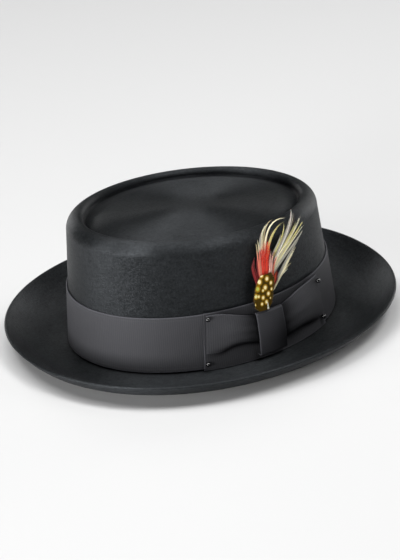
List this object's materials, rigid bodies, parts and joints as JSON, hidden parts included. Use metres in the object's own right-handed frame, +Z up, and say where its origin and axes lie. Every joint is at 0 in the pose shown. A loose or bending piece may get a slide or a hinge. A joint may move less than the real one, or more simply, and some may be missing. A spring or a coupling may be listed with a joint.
{
  "type": "porkpie hat with ribbon bow and feathers",
  "caption": "Felt porkpie hat: creased crown, upturned brim, grosgrain band, flat side bow and small feather trim.",
  "frame": {"origin": "centre of the brim's outline, at the height of the flat ring on the brim's underside that the hat rests on", "axes": "+Z up through the crown, -Y towards the front of the hat, +X towards the wearer's left, where the bow is"},
  "size_m": [0.2554, 0.2872, 0.1024],
  "materials": {
    "fur_felt": "black fur felt, brushed, soft low sheen",
    "grosgrain": "black ribbed ribbon, satin",
    "pin_head": "glossy black",
    "pale_hackle": "cream feather barbs, matt",
    "red_feather": "red feather barbs, matt",
    "guinea_feather": "brown feather with pale spots, matt"
  },
  "bodies": {
    "root": {"hat_body": "fur_felt", "hat_band": "grosgrain", "bow_backing": "grosgrain", "bow_wing_front": "grosgrain", "bow_wing_back": "grosgrain", "bow_keeper": "grosgrain", "bow_pin_front_top": "pin_head", "bow_pin_front_bottom": "pin_head", "bow_pin_back_top": "pin_head", "bow_pin_back_bottom": "pin_head", "hackle_feather": "pale_hackle", "red_feather": "red_feather", "guinea_feather": "guinea_feather"}
  },
  "joints": []
}
